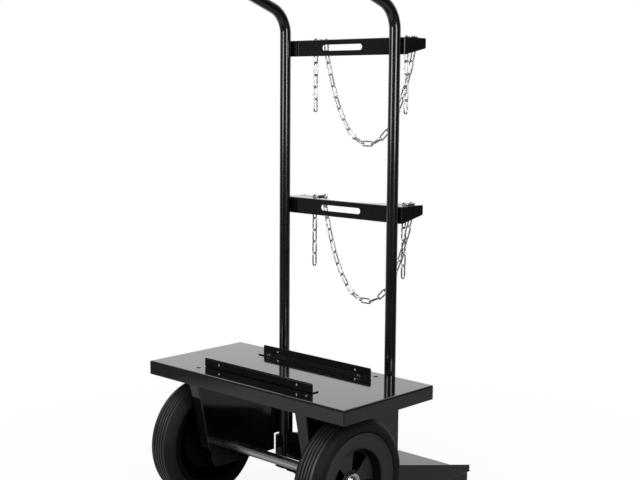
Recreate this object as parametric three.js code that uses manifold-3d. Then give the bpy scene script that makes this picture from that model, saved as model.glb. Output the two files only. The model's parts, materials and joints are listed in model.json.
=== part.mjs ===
import * as THREE from 'three';
import { mergeVertices } from 'three/addons/utils/BufferGeometryUtils.js';
import Module from 'manifold-3d';

const wasm = await Module();
wasm.setup();
const { Manifold, Mesh } = wasm;

// Axes: +X to the side, +Y from the machine side to the cylinder side, +Z up, floor at 0, millimetres.
// Y is worked out from the platform's rear edge, and the whole trolley is centred at the end.

// Driving dimensions

const sheet = 2.5; // thickness of all folded sheet
const fold_radius = 4; // outer radius of a fold
const seat_gap = 0.3; // clearance between pieces that touch
const overrun = 20; // how far a cutting tool passes its work
const fold_overlap = 6; // how far a fold's profile runs into its plate

const wheel_radius = 138.5;
const tyre_width = 72;
const axle_inset = 99; // platform's front edge to axle
const axle_radius = 11;

const platform_width = 600;
const platform_depth = 282;
const platform_over_axle = 185;
const platform_flange = 31;
const platform_corner = 1.5;
const platform_hole_radius = 5.5;
const platform_hole_x = 167;
const platform_hole_margin = 32;

const upright_spacing = 330;
const tube_radius = 12.75;
const tube_wall = 2;
const tube_bend_radius = 62;
const upright_clearance = 5.2; // platform's rear edge to tube
const handle_rise = 790; // platform's top to where the uprights' line meets the handle's
const handle_reach = 215;
const handle_slope = THREE.MathUtils.degToRad(19.5);

const plate_overhang = 16; // upright's middle to outer face of side plates, toe tray and cradle bars
const plate_flange = 30;
const plate_front_setback = 8; // platform's front edge to the top of the sloping flange
const plate_front_run = 40; // how far that flange slopes back
const plate_flange_drop = 187; // platform's top to the end of that flange
const plate_drop = 246; // platform's top to the plate's lower edge
const plate_heel_setback = 80; // platform's front edge to the upright edge below the flange
const plate_heel_drop = 209;
const plate_chamfer_run = 11;
const plate_chamfer_rise = 18;
const notch_drop = 206.5;
const notch_gap = 4.4; // slit between side plate and toe tray

const toe_drop = 293.5; // platform's top to the toe tray's underside
const toe_reach = 311.5; // platform's rear edge to the tray's far edge
const toe_wall_setback = 6.5;
const toe_wall_tip = 18;
const toe_wall_height = 83;
const toe_wall_level = 30; // level length of the wall's top edge
const toe_wall_corner = 8;
const toe_flange = 24;
const toe_back_height = 101;
const toe_relief = 16; // gap between front flange and back wall
const toe_relief_depth = 8;
const toe_edge_corner = 6;

const skid_width = 24;
const skid_length = 240;
const skid_inset = 5;
const skid_setback = 8;

const bar_height = 37;
const bar_reach = 74; // bar's front to the tips of its wings
const flange_reach = 62.6; // bar's front to the flange's free edge
const bar_tip_height = 22;
const bar_tip_corner = 3;
const upper_bar_rise = 732.5; // platform's top to the bar's top
const lower_bar_rise = 367.5;
const web_slot_length = 121;
const web_slot_width = 13.5;
const cradle_radius = 118;
const cradle_lip = 2.5; // flange left between the cradle's arc and the web
const key_slot_inset = 18; // bar's end to slot
const key_slot_length = 56;
const key_slot_width = 6;
const seam = 0.6; // open seam between the bar's flange and its wings

const bracket_length = 333;
const bracket_leg = 20.5;
const bracket_foot = 19;
const bracket_thickness = 2;
const bracket_corner = 4;
const bracket_front_setback = 50.5; // platform's front edge to the front bracket's leg
const bracket_rear_setback = 47; // platform's rear edge to the rear bracket's leg
const bracket_hole_radius = 2.6;
const bracket_hole_inset = 46; // bracket's end to hole
const screw_inset = 26.5; // bracket's end to screw
const screw_radius = 2.9;
const screw_head_radius = 5;
const screw_head_height = 2.6;
const nut_radius = 5.6;
const nut_height = 4.8;
const screw_tail = 2;

const rim_radius = 109;
const rim_seat_radius = 103;
const rim_half_width = 27;
const rim_flange = 3.5;
const rim_wall = 4;
const rim_face_drop = 4; // how far the face slopes in between its edge and the dish
const dish_radius = 75.5;
const dish_floor_radius = 68;
const web_outer = 7; // wheel's middle to the web's outer face
const web_thickness = 18;
const hub_radius = 23;
const hub_outer = 8; // wheel's middle to the hub's outer end
const hub_inner = 37;
const window_inner_radius = 27;
const window_outer_radius = 66.5;
const window_floor = 3; // the windows are closed at the back
const window_count = 4;
const window_angle_share = 0.45;
const window_start_share = 0.7; // first window's middle, as a share of the windows' pitch
const tread_shoulder = 22;
const groove_depth = 3.5;
const groove_width = 3.2;
const groove_pitch = 8;
const groove_count = 4;

const running_clearance = 0.08; // wheel bush to axle, on the radius
const bush_wall = 4;
const bush_flange_radius = 19;
const bush_flange = 2;
const bush_length = 16;
const washer_radius = 18;
const washer_thickness = 1.5;
const spacer_radius = 17;
const spacer_length = 3.6;
const cap_radius = 21;
const cap_flange = 2;
const cap_dome_radius = 14.5;
const cap_grip = 4; // length of the cap's bore on the axle
const cap_dome = 5;

const wire_radius = 1.8;
const link_pitch = 28;
const link_width = 14;
const link_bite = 1.1; // how far neighbouring links of one strand sink into each other
const link_play = 0.7; // clearance between two links that swing on each other
const main_link_count = 19;
const tail_link_count = 5;
// From the bar's end: the link that lies flat, the one in the slot and the one over the edge
const chain_insets = {
  left: { flat: 69.4, slot: 64.4, edge: 74.4 },
  right: { flat: 20.5, slot: 25.5, edge: 25.5 },
};

const round_steps = 28;
const ring_steps = 20;
const hole_steps = 14;
const tube_sides = 14;
const bore_sides = 8;
const bend_steps = 5;
const arc_steps = 3;
const link_sides = 4;
const link_steps = 6;
const bisections = 60;

// Sizes that follow

const platform_top = wheel_radius + platform_over_axle;
const axle_y = axle_inset - platform_depth;
const upright_x = upright_spacing / 2;
const plate_half_width = upright_x + plate_overhang;
const upright_y = upright_clearance + tube_radius;
const tube_back_y = upright_y + tube_radius + seat_gap;
const toe_bottom = platform_top - toe_drop;
const toe_floor = toe_bottom + sheet;
const toe_front_y = upright_clearance - seat_gap - sheet;
const bar_front_y = tube_back_y;
const bar_rear_y = bar_front_y + bar_reach;
const flange_edge_y = bar_front_y + flange_reach;
const cradle_y = bar_front_y + sheet + cradle_lip + cradle_radius;
const front_leg_y = -platform_depth + bracket_front_setback;
const rear_leg_y = -bracket_rear_setback;
const foot_middle = (bracket_foot + bracket_thickness) / 2;
const bracket_hole_x = bracket_length / 2 - bracket_hole_inset;
const screw_x = bracket_length / 2 - screw_inset;
const link_half = (link_pitch + 2 * wire_radius - link_bite) / 2; // link's middle to its end wire's middle
const link_end_radius = (link_width / 2 - wire_radius) / Math.sin(2 * Math.PI / link_steps);
const hook = 2 * wire_radius + link_play; // between the end wires of two links that swing on each other
const first_joint_rise = hook - wire_radius + link_bite / 2; // swing line to a free chain's first joint
const link_sink = 2 * wire_radius - link_bite; // between the wires of two links that are joined
const strand_y = flange_edge_y + seat_gap + wire_radius;
const flat_link_y = strand_y - link_half + link_sink;
const key_slot_y = flat_link_y - link_half + link_sink;
const flat_link_rise = seat_gap + wire_radius; // bar's top to the middle of the link that lies on it
const hung_link_rise = flat_link_rise + link_sink - link_half;
const swing_rise = hung_link_rise - link_half; // bar's top to the wire that the free chain swings on

// Turns of the three drawing planes into the trolley's axes
const X = new THREE.Vector3(1, 0, 0);
const Y = new THREE.Vector3(0, 1, 0);
const Z = new THREE.Vector3(0, 0, 1);
const from_yz = new THREE.Matrix4().makeBasis(Y, Z, X);
const from_xz = new THREE.Matrix4().makeBasis(X, Z, Y.clone().negate());
const about_x = new THREE.Matrix4().makeBasis(Y, X, Z.clone().negate());

const moved = (x, y, z) => new THREE.Matrix4().makeTranslation(x, y, z);

// A closed geometry as a solid that can be cut and joined
function solid(geometry, matrix = new THREE.Matrix4()) {
  const bare = geometry.index ? geometry.toNonIndexed() : geometry.clone();
  bare.deleteAttribute('normal');
  bare.deleteAttribute('uv');
  bare.applyMatrix4(matrix);
  const merged = mergeVertices(bare);
  const kept = [];
  const index = merged.index.array;
  for (let i = 0; i < index.length; i += 3) {
    const [a, b, c] = [index[i], index[i + 1], index[i + 2]];
    if (a !== b && b !== c && c !== a) kept.push(a, b, c);
  }
  return new Manifold(new Mesh({
    numProp: 3,
    vertProperties: new Float32Array(merged.attributes.position.array),
    triVerts: new Uint32Array(kept),
  }));
}

// A solid as a geometry with its flat faces kept crisp
function geometry_of(manifold) {
  const mesh = manifold.getMesh();
  const geometry = new THREE.BufferGeometry();
  geometry.setAttribute('position', new THREE.BufferAttribute(mesh.vertProperties, 3));
  geometry.setIndex(new THREE.BufferAttribute(mesh.triVerts, 1));
  const flat = geometry.toNonIndexed();
  flat.computeVertexNormals();
  return flat;
}

const joined = (...solids) => solids.reduce((sum, next) => sum.add(next));

// The same solid on the other side of the trolley
function mirrored(manifold) {
  const mesh = manifold.getMesh();
  const index = mesh.triVerts.slice();
  for (let i = 0; i < index.length; i += 3) [index[i], index[i + 1]] = [index[i + 1], index[i]];
  const vertProperties = mesh.vertProperties.map((value, i) => (i % 3 === 0 ? -value : value));
  return new Manifold(new Mesh({ numProp: 3, vertProperties, triVerts: index }));
}

// Basic solids

function block(low, high) {
  const size = high.map((value, i) => value - low[i]);
  const centre = high.map((value, i) => (value + low[i]) / 2);
  return solid(new THREE.BoxGeometry(...size), moved(...centre));
}

function prism(shape, depth, matrix) {
  const options = { depth, bevelEnabled: false, curveSegments: arc_steps };
  return solid(new THREE.ExtrudeGeometry(shape, options), matrix);
}

// An outline drawn in Y and Z, and run from low_x to high_x
const run_x = (shape, low_x, high_x) => (
  prism(shape, high_x - low_x, from_yz.clone().setPosition(low_x, 0, 0))
);

// An outline drawn in X and Z, and run from low_y to high_y
const run_y = (shape, low_y, high_y) => (
  prism(shape, high_y - low_y, from_xz.clone().setPosition(0, high_y, 0))
);

// An outline drawn in X and Y, and run from low_z to high_z
const run_z = (shape, low_z, high_z) => prism(shape, high_z - low_z, moved(0, 0, low_z));

// A profile of [distance along the axis, radius], revolved about a line along X
function turned_x(profile, steps) {
  const points = profile.map(([along, radius]) => new THREE.Vector2(radius, along));
  return solid(new THREE.LatheGeometry(points, steps), about_x);
}

function rod_z(radius, low, high, x, y, steps = round_steps) {
  const turn = new THREE.Matrix4().makeRotationX(Math.PI / 2).setPosition(x, y, (low + high) / 2);
  return solid(new THREE.CylinderGeometry(radius, radius, high - low, steps), turn);
}

function rod_x(radius, low, high, y, z, steps = round_steps) {
  const turn = new THREE.Matrix4().makeRotationZ(Math.PI / 2).setPosition((low + high) / 2, y, z);
  return solid(new THREE.CylinderGeometry(radius, radius, high - low, steps), turn);
}

function rod_y(radius, low, high, x, z, steps = round_steps) {
  return solid(new THREE.CylinderGeometry(radius, radius, high - low, steps), moved(x, (low + high) / 2, z));
}

// Outlines

// A closed outline through [a, b, corner radius] points
function outline(corners) {
  const shape = new THREE.Shape();
  const count = corners.length;
  corners.forEach(([a, b, radius = 0], i) => {
    const here = new THREE.Vector2(a, b);
    const before = new THREE.Vector2(...corners[(i + count - 1) % count]);
    const after = new THREE.Vector2(...corners[(i + 1) % count]);
    const back = before.sub(here).normalize();
    const on = after.sub(here).normalize();
    const reach = radius / Math.tan(Math.acos(THREE.MathUtils.clamp(back.dot(on), -1, 1)) / 2);
    const start = here.clone().addScaledVector(back, reach);
    const end = here.clone().addScaledVector(on, reach);
    if (i === 0) shape.moveTo(start.x, start.y);
    else shape.lineTo(start.x, start.y);
    if (radius > 0) {
      const to_centre = back.add(on).normalize();
      const centre = here.addScaledVector(to_centre, Math.hypot(radius, reach));
      const from = start.sub(centre).angle();
      const to = end.sub(centre).angle();
      const turn = THREE.MathUtils.euclideanModulo(to - from, 2 * Math.PI);
      shape.absarc(centre.x, centre.y, radius, from, to, turn > Math.PI);
    }
  });
  shape.closePath();
  return shape;
}

// A straight slot with round ends, along the first axis
function slot_outline(low, high, middle, width) {
  const radius = width / 2;
  const shape = new THREE.Shape();
  shape.absarc(high - radius, middle, radius, -Math.PI / 2, Math.PI / 2, false);
  shape.absarc(low + radius, middle, radius, Math.PI / 2, -Math.PI / 2, false);
  shape.closePath();
  return shape;
}

// The profile of a right-angled fold: its outer corner at [a, b], legs running towards a_leg and b_leg
function fold_outline(a, b, a_leg, b_leg) {
  const a_way = Math.sign(a_leg);
  const b_way = Math.sign(b_leg);
  return outline([
    [a, b, fold_radius],
    [a + a_leg, b],
    [a + a_leg, b + b_way * sheet],
    [a + a_way * sheet, b + b_way * sheet, fold_radius - sheet],
    [a + a_way * sheet, b + b_leg],
    [a, b + b_leg],
  ]);
}

// A tube along a line with rounded corners

class StationCurve extends THREE.Curve {
  constructor(stations) {
    super();
    this.stations = stations;
  }

  station(t) {
    return this.stations[Math.round(t * (this.stations.length - 1))];
  }

  getPoint(t) {
    return this.station(t).point.clone();
  }

  getPointAt(u) {
    return this.getPoint(u);
  }

  getTangentAt(u) {
    return this.station(u).tangent.clone();
  }

  getSpacedPoints(divisions) {
    return Array.from({ length: divisions + 1 }, (_, i) => this.getPoint(i / divisions));
  }
}

function rounded_route(corners, radius) {
  const first = corners[0];
  const last = corners[corners.length - 1];
  const heading = (from, to) => to.clone().sub(from).normalize();
  const stations = [{ point: first, tangent: heading(first, corners[1]) }];
  for (let i = 1; i < corners.length - 1; i += 1) {
    const into = heading(corners[i - 1], corners[i]);
    const out = heading(corners[i], corners[i + 1]);
    const turn = into.angleTo(out);
    const start = corners[i].clone().addScaledVector(into, -radius * Math.tan(turn / 2));
    const side = out.clone().addScaledVector(into, -into.dot(out)).normalize();
    for (let k = 0; k <= bend_steps; k += 1) {
      const angle = turn * k / bend_steps;
      const point = start.clone()
        .addScaledVector(into, radius * Math.sin(angle))
        .addScaledVector(side, radius * (1 - Math.cos(angle)));
      const tangent = into.clone().multiplyScalar(Math.cos(angle)).addScaledVector(side, Math.sin(angle));
      stations.push({ point, tangent });
    }
  }
  stations.push({ point: last, tangent: heading(corners[corners.length - 2], last) });
  return stations;
}

function rod_along(stations, radius, sides) {
  const ring = Array.from({ length: sides }, (_, i) => {
    const angle = 2 * Math.PI * i / sides;
    return new THREE.Vector2(radius * Math.cos(angle), radius * Math.sin(angle));
  });
  const extrudePath = new StationCurve(stations);
  const options = { steps: stations.length - 1, bevelEnabled: false, extrudePath };
  return solid(new THREE.ExtrudeGeometry(new THREE.Shape(ring), options));
}

// Tube frame: two uprights, bent over into one push handle

function tube_frame() {
  const foot = toe_floor + seat_gap;
  const knee = platform_top + handle_rise;
  const end_y = upright_y - handle_reach * Math.cos(handle_slope);
  const end_z = knee + handle_reach * Math.sin(handle_slope);
  const right = [
    new THREE.Vector3(upright_x, upright_y, foot),
    new THREE.Vector3(upright_x, upright_y, knee),
    new THREE.Vector3(upright_x, end_y, end_z),
  ];
  const left = right.map((point) => new THREE.Vector3(-point.x, point.y, point.z)).reverse();
  const stations = rounded_route([...right, ...left], tube_bend_radius);
  const outside = rod_along(stations, tube_radius, tube_sides);
  const bore = stations.map(({ point, tangent }) => ({ point: point.clone(), tangent }));
  bore[0].point.z -= overrun;
  bore[bore.length - 1].point.z -= overrun;
  return outside.subtract(rod_along(bore, tube_radius - tube_wall, bore_sides));
}

// Machine platform: a tray turned down on four sides

function platform_tray() {
  const half = platform_width / 2;
  const plan = (inset, corner) => outline([
    [-half + inset, -platform_depth + inset, corner],
    [half - inset, -platform_depth + inset, corner],
    [half - inset, -inset, corner],
    [-half + inset, -inset, corner],
  ]);
  const front = (inset, corner) => outline([
    [-half + inset, platform_top - platform_flange - overrun],
    [half - inset, platform_top - platform_flange - overrun],
    [half - inset, platform_top - inset, corner],
    [-half + inset, platform_top - inset, corner],
  ]);
  const side = (inset, corner) => outline([
    [-platform_depth + inset, platform_top - platform_flange - overrun],
    [-inset, platform_top - platform_flange - overrun],
    [-inset, platform_top - inset, corner],
    [-platform_depth + inset, platform_top - inset, corner],
  ]);
  const pressed = (inset, corner, low) => run_z(plan(inset, platform_corner), low, platform_top)
    .intersect(run_y(front(inset, corner), -platform_depth - overrun, overrun))
    .intersect(run_x(side(inset, corner), -half - overrun, half + overrun));
  const low = platform_top - platform_flange;
  let tray = pressed(0, fold_radius, low).subtract(pressed(sheet, fold_radius - sheet, low - overrun / 2));
  for (const x of [-platform_hole_x, platform_hole_x]) {
    for (const y of [-platform_hole_margin, platform_hole_margin - platform_depth]) {
      tray = tray.subtract(rod_z(platform_hole_radius, low, platform_top + overrun, x, y, hole_steps));
    }
  }
  for (const [x, y] of screw_places()) {
    tray = tray.subtract(rod_z(screw_radius + seat_gap, low, platform_top + overrun, x, y, hole_steps));
  }
  // The field between the brackets is a face of its own, which the machine stands on
  const field = (past) => block(
    [-bracket_length / 2, front_leg_y + bracket_foot, platform_top - sheet - past],
    [bracket_length / 2, rear_leg_y - bracket_foot, platform_top + past],
  );
  return tray.subtract(field(overrun)).add(field(0));
}

// Angle brackets that hold the machine

function screw_places() {
  const places = [];
  for (const y of [front_leg_y + foot_middle, rear_leg_y - foot_middle]) {
    for (const x of [-screw_x, screw_x]) places.push([x, y]);
  }
  return places;
}

// The leg stands at leg_y, and the foot runs from it towards way
function bracket(leg_y, way) {
  const half = bracket_length / 2;
  const low = platform_top + seat_gap;
  const profile = outline([
    [leg_y, low, bracket_thickness],
    [leg_y + way * bracket_foot, low],
    [leg_y + way * bracket_foot, low + bracket_thickness],
    [leg_y + way * bracket_thickness, low + bracket_thickness],
    [leg_y + way * bracket_thickness, low + bracket_leg],
    [leg_y, low + bracket_leg],
  ]);
  const leg_face = outline([
    [-half, low - overrun],
    [half, low - overrun],
    [half, low + bracket_leg, bracket_corner],
    [-half, low + bracket_leg, bracket_corner],
  ]);
  const [near, far] = [leg_y - bracket_foot - overrun, leg_y + bracket_foot + overrun];
  let angle = run_x(profile, -half, half).intersect(run_y(leg_face, near, far));
  for (const x of [-bracket_hole_x, bracket_hole_x]) {
    const z = low + bracket_leg / 2;
    angle = angle.subtract(rod_y(bracket_hole_radius, near, far, x, z, hole_steps));
  }
  for (const [x, y] of screw_places()) {
    angle = angle.subtract(rod_z(screw_radius + seat_gap, low - overrun, low + overrun, x, y, hole_steps));
  }
  return angle;
}

function bracket_screw(x, y) {
  const seat = platform_top + 2 * seat_gap + bracket_thickness;
  const end = platform_top - sheet - seat_gap - nut_height - screw_tail;
  const head = rod_z(screw_head_radius, seat, seat + screw_head_height, x, y, hole_steps);
  const shank = rod_z(screw_radius, end, seat + screw_head_height / 2, x, y, hole_steps);
  return head.add(shank);
}

function bracket_nut(x, y) {
  const high = platform_top - sheet - seat_gap;
  const low = high - nut_height;
  const hexagon = rod_z(nut_radius, low, high, x, y, 6);
  return hexagon.subtract(rod_z(screw_radius + seat_gap, low - overrun, high + overrun, x, y, hole_steps));
}

// Side plate under the platform, drawn for the right side

function side_plate() {
  const outer = plate_half_width;
  const inner = outer - sheet;
  const top = platform_top - sheet - seat_gap;
  const under_flange = platform_top - platform_flange - seat_gap;
  const front_y = -platform_depth + plate_front_setback;
  const bend_z = platform_top - plate_flange_drop;
  const low = platform_top - plate_drop;
  const notch_y = toe_front_y - notch_gap;
  const notch_z = platform_top - notch_drop;
  const rear_y = tube_back_y + sheet;

  const slope = new THREE.Vector2(plate_front_run, bend_z - platform_top).normalize();
  const into = new THREE.Vector2(-slope.y, slope.x);
  const foot_y = front_y + plate_front_run;
  const start = fold_radius + fold_overlap / 2;
  const edge_y = (z) => front_y + (platform_top - z) * plate_front_run / plate_flange_drop + start / into.x;
  const heel_y = -platform_depth + plate_heel_setback;

  const face = outline([
    [edge_y(top), top],
    [edge_y(bend_z), bend_z],
    [heel_y, platform_top - plate_heel_drop],
    [heel_y, low + plate_chamfer_rise, fold_radius],
    [heel_y + plate_chamfer_run, low, fold_radius],
    [notch_y, low],
    [notch_y, notch_z],
    [rear_y - start, notch_z],
    [rear_y - start, under_flange],
    [-sheet - seat_gap, under_flange],
    [-sheet - seat_gap, top, fold_radius],
  ]);
  const web = run_x(face, inner, outer);

  const edge_length = Math.hypot(plate_front_run, platform_top - bend_z);
  const normal = new THREE.Vector3(0, into.x, into.y);
  const up_edge = new THREE.Vector3(0, -slope.x, -slope.y);
  const on_edge = new THREE.Matrix4().makeBasis(X, normal, up_edge).setPosition(0, foot_y, bend_z);
  const front_profile = fold_outline(outer, 0, -plate_flange, fold_radius + fold_overlap);
  const above = block([0, -platform_depth - overrun, top], [outer + overrun, overrun, top + overrun]);
  const front_fold = prism(front_profile, edge_length, on_edge).subtract(above);

  const rear_fold = run_z(
    fold_outline(outer, rear_y, -plate_flange, -fold_radius - fold_overlap),
    notch_z,
    under_flange,
  );
  const axle_hole = rod_x(axle_radius + seat_gap, inner - overrun, outer + overrun, axle_y, wheel_radius);
  return joined(web, front_fold, rear_fold).subtract(axle_hole);
}

// Toe tray that carries the cylinder

function toe_tray() {
  const outer = plate_half_width;
  const wall_top = toe_bottom + toe_wall_height;
  const wall_end = toe_reach - toe_wall_setback;
  const back_half = outer - toe_flange - toe_relief;
  const cup = outline([
    [-outer, toe_bottom, fold_radius],
    [outer, toe_bottom, fold_radius],
    [outer, wall_top],
    [outer - sheet, wall_top],
    [outer - sheet, toe_floor, fold_radius - sheet],
    [-outer + sheet, toe_floor, fold_radius - sheet],
    [-outer + sheet, wall_top],
    [-outer, wall_top],
  ]);
  const start = fold_radius + fold_overlap / 2;
  const side = outline([
    [toe_front_y + start, toe_bottom],
    [toe_reach, toe_bottom],
    [toe_reach, toe_floor],
    [wall_end, toe_floor],
    [wall_end, toe_bottom + toe_wall_tip],
    [toe_front_y + toe_wall_level, wall_top],
    [toe_front_y + start, wall_top],
  ]);
  const plan = outline([
    [-outer, toe_front_y],
    [outer, toe_front_y],
    [outer, toe_reach, toe_edge_corner],
    [-outer, toe_reach, toe_edge_corner],
  ]);
  let tray = run_y(cup, toe_front_y, toe_reach)
    .intersect(run_x(side, -outer - overrun, outer + overrun))
    .intersect(run_z(plan, toe_bottom - overrun, wall_top + overrun));

  for (const way of [-1, 1]) {
    const fold = fold_outline(way * outer, toe_front_y, -way * toe_flange, fold_radius + fold_overlap);
    tray = tray.add(run_z(fold, toe_bottom + fold_radius, wall_top));
  }
  const back = fold_outline(toe_front_y, toe_bottom, fold_radius + fold_overlap, toe_back_height);
  const back_face = outline([
    [-back_half, toe_bottom - overrun],
    [back_half, toe_bottom - overrun],
    [back_half, toe_bottom + toe_back_height, toe_wall_corner],
    [-back_half, toe_bottom + toe_back_height, toe_wall_corner],
  ]);
  tray = tray.add(run_x(back, -back_half, back_half).intersect(run_y(back_face, -overrun, 2 * overrun)));
  for (const way of [-1, 1]) {
    const near = way * back_half;
    const far = way * (back_half + toe_relief);
    tray = tray.subtract(block(
      [Math.min(near, far), toe_front_y - overrun, toe_bottom - overrun],
      [Math.max(near, far), toe_front_y + toe_relief_depth, toe_floor + overrun],
    ));
  }
  return tray;
}

// Skid under the toe tray: a folded channel, drawn for the right side

function skid() {
  const outer = plate_half_width - skid_inset;
  const inner = outer - skid_width;
  const top = toe_bottom - seat_gap;
  const channel = outline([
    [inner, top],
    [inner, 0, fold_radius],
    [outer, 0, fold_radius],
    [outer, top],
    [outer - sheet, top],
    [outer - sheet, sheet, fold_radius - sheet],
    [inner + sheet, sheet, fold_radius - sheet],
    [inner + sheet, top],
  ]);
  const end = toe_reach - skid_setback;
  return run_y(channel, end - skid_length, end);
}

// Cradle bar that steadies the cylinder

function cradle_bar() {
  const top = 0;
  const half = plate_half_width;
  const low = top - bar_height;
  const [front, rear] = [bar_front_y, bar_rear_y];
  const formed = (inset, corner, depth, reach) => {
    const side = outline([
      [front + inset, low - depth],
      [rear + reach, low - depth],
      [rear + reach, top - inset],
      [front + inset, top - inset, corner],
    ]);
    const plan = outline([
      [-half + inset, front + inset, corner],
      [half - inset, front + inset, corner],
      [half - inset, rear + reach],
      [-half + inset, rear + reach],
    ]);
    return run_x(side, -half - overrun, half + overrun)
      .intersect(run_z(plan, low - 2 * overrun, top + overrun));
  };
  let bar = formed(0, fold_radius, 0, 0).subtract(formed(sheet, fold_radius - sheet, overrun, overrun));

  const wing = outline([
    [front - overrun, low - overrun],
    [front + fold_radius, low - overrun],
    [front + fold_radius, low],
    [rear, top - bar_tip_height, bar_tip_corner],
    [rear, top, bar_tip_corner],
    [front - overrun, top],
  ]);
  bar = bar.intersect(run_x(wing, -half - overrun, half + overrun));
  bar = bar.subtract(block(
    [sheet - half, flange_edge_y, top - 2 * sheet],
    [half - sheet, rear + overrun, top + overrun],
  ));
  for (const way of [-1, 1]) {
    const x = way * (half - sheet);
    bar = bar.subtract(block(
      [Math.min(x, x - way * seam), front + fold_radius, top - 2 * sheet],
      [Math.max(x, x - way * seam), rear + overrun, top + overrun],
    ));
  }

  const slot_half = web_slot_length / 2;
  const web_slot = slot_outline(-slot_half, slot_half, top - bar_height / 2, web_slot_width);
  bar = bar.subtract(run_y(web_slot, front - overrun, front + overrun));
  bar = bar.subtract(rod_z(cradle_radius, top - overrun, top + overrun, 0, cradle_y, 2 * round_steps));
  for (const way of [-1, 1]) {
    const outer_end = half - key_slot_inset;
    const ends = [way * (outer_end - key_slot_length), way * outer_end].sort((a, b) => a - b);
    const slot = slot_outline(...ends, key_slot_y, key_slot_width);
    bar = bar.subtract(run_z(slot, top - overrun, top + overrun));
  }
  return bar;
}

// Axle and what sits on it. A wheel is drawn about its own middle, with +X pointing away from the trolley

const hub_outer_x = hub_outer + bush_flange + seat_gap;
const washer_x = hub_outer_x + seat_gap;
const cap_x = washer_x + washer_thickness + seat_gap;
const axle_end_x = cap_x + cap_grip;
const hub_inner_x = -hub_inner - bush_flange - seat_gap;
const spacer_x = hub_inner_x - seat_gap - spacer_length;
const wheel_offset = plate_half_width + seat_gap - spacer_x; // trolley's middle to wheel's middle
const bush_radius = axle_radius + running_clearance + bush_wall;

function axle() {
  const half = wheel_offset + axle_end_x;
  return rod_x(axle_radius, -half, half, 0, 0);
}

function ring_x(inner_radius, outer_radius, low, high) {
  return turned_x([
    [low, inner_radius],
    [low, outer_radius],
    [high, outer_radius],
    [high, inner_radius],
    [low, inner_radius],
  ], ring_steps);
}

const cap_washer = () => ring_x(
  axle_radius + seat_gap,
  washer_radius,
  washer_x,
  washer_x + washer_thickness,
);

const spacer = () => ring_x(
  axle_radius + seat_gap,
  spacer_radius,
  spacer_x,
  spacer_x + spacer_length,
);

// The cap is pushed over the end of the axle
function hub_cap() {
  const bore = axle_radius + seat_gap;
  const profile = [
    [axle_end_x + seat_gap, 0],
    [axle_end_x + seat_gap, bore],
    [cap_x, bore],
    [cap_x, cap_radius],
    [cap_x + cap_flange, cap_radius],
    [cap_x + cap_flange, cap_dome_radius],
  ];
  for (let k = 0; k < arc_steps; k += 1) {
    const angle = Math.PI / 2 * k / arc_steps;
    profile.push([axle_end_x + cap_dome * Math.sin(angle), cap_dome_radius * Math.cos(angle)]);
  }
  profile.push([axle_end_x + cap_dome, 0]);
  return turned_x(profile, ring_steps);
}

// A flanged bush for one end of the hub, drawn for the outer end
function wheel_bush() {
  const bore = axle_radius + running_clearance;
  const inner_end = hub_outer + seat_gap - bush_length;
  const flange_face = hub_outer + seat_gap;
  return turned_x([
    [inner_end, bore],
    [inner_end, bush_radius],
    [flange_face, bush_radius],
    [flange_face, bush_flange_radius],
    [flange_face + bush_flange, bush_flange_radius],
    [flange_face + bush_flange, bore],
    [inner_end, bore],
  ], round_steps);
}

function tyre() {
  const half = tyre_width / 2;
  const shoulder = (way) => Array.from({ length: arc_steps + 1 }, (_, k) => {
    const angle = Math.PI / 2 * k / arc_steps;
    const along = half - tread_shoulder + tread_shoulder * Math.cos(angle);
    return [way * along, wheel_radius - tread_shoulder + tread_shoulder * Math.sin(angle)];
  });
  const side = (way) => [
    [way * rim_half_width, rim_seat_radius],
    [way * rim_half_width, rim_radius + seat_gap],
    ...shoulder(way),
  ];
  const profile = side(-1);
  for (let k = 0; k < groove_count; k += 1) {
    const middle = groove_pitch * (k - (groove_count - 1) / 2);
    profile.push(
      [middle - groove_width / 2, wheel_radius],
      [middle, wheel_radius - groove_depth],
      [middle + groove_width / 2, wheel_radius],
    );
  }
  profile.push(...side(1).reverse(), profile[0]);
  return turned_x(profile, round_steps);
}

function rim() {
  const bore = bush_radius + seat_gap;
  const seat = rim_seat_radius - seat_gap;
  const flange_inner = rim_half_width + seat_gap;
  const flange_outer = flange_inner + rim_flange;
  const face = flange_outer - rim_face_drop;
  const web_inner = web_outer - web_thickness;
  let wheel = turned_x([
    [-hub_inner, bore],
    [-hub_inner, hub_radius],
    [web_inner, hub_radius],
    [web_inner, dish_floor_radius + rim_wall],
    [face - rim_wall, dish_radius + rim_wall],
    [face - rim_wall, seat - rim_wall],
    [-flange_outer, seat - rim_wall],
    [-flange_outer, rim_radius],
    [-flange_inner, rim_radius],
    [-flange_inner, seat],
    [flange_inner, seat],
    [flange_inner, rim_radius],
    [flange_outer, rim_radius],
    [face, dish_radius],
    [web_outer, dish_floor_radius],
    [web_outer, hub_radius],
    [hub_outer, hub_radius],
    [hub_outer, bore],
    [-hub_inner, bore],
  ], round_steps);
  const pitch = 2 * Math.PI / window_count;
  for (let k = 0; k < window_count; k += 1) {
    const middle = pitch * (k + window_start_share);
    const reach = pitch * window_angle_share / 2;
    const window = new THREE.Shape();
    window.absarc(0, 0, window_outer_radius, middle - reach, middle + reach, false);
    window.absarc(0, 0, window_inner_radius, middle + reach, middle - reach, true);
    window.closePath();
    wheel = wheel.subtract(run_x(window, web_inner + window_floor, web_outer + overrun));
  }
  return wheel;
}

// Chain. A link is a ring pulled out along X

function chain_link(middle, along, face) {
  const link = new THREE.TorusGeometry(link_end_radius, wire_radius, link_sides, link_steps);
  const places = link.attributes.position;
  for (let i = 0; i < places.count; i += 1) {
    const x = places.getX(i);
    places.setX(i, x + Math.sign(x) * (link_half - link_end_radius));
  }
  const across = face.clone().cross(along);
  return solid(link, new THREE.Matrix4().makeBasis(along, across, face).setPosition(middle));
}

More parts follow.
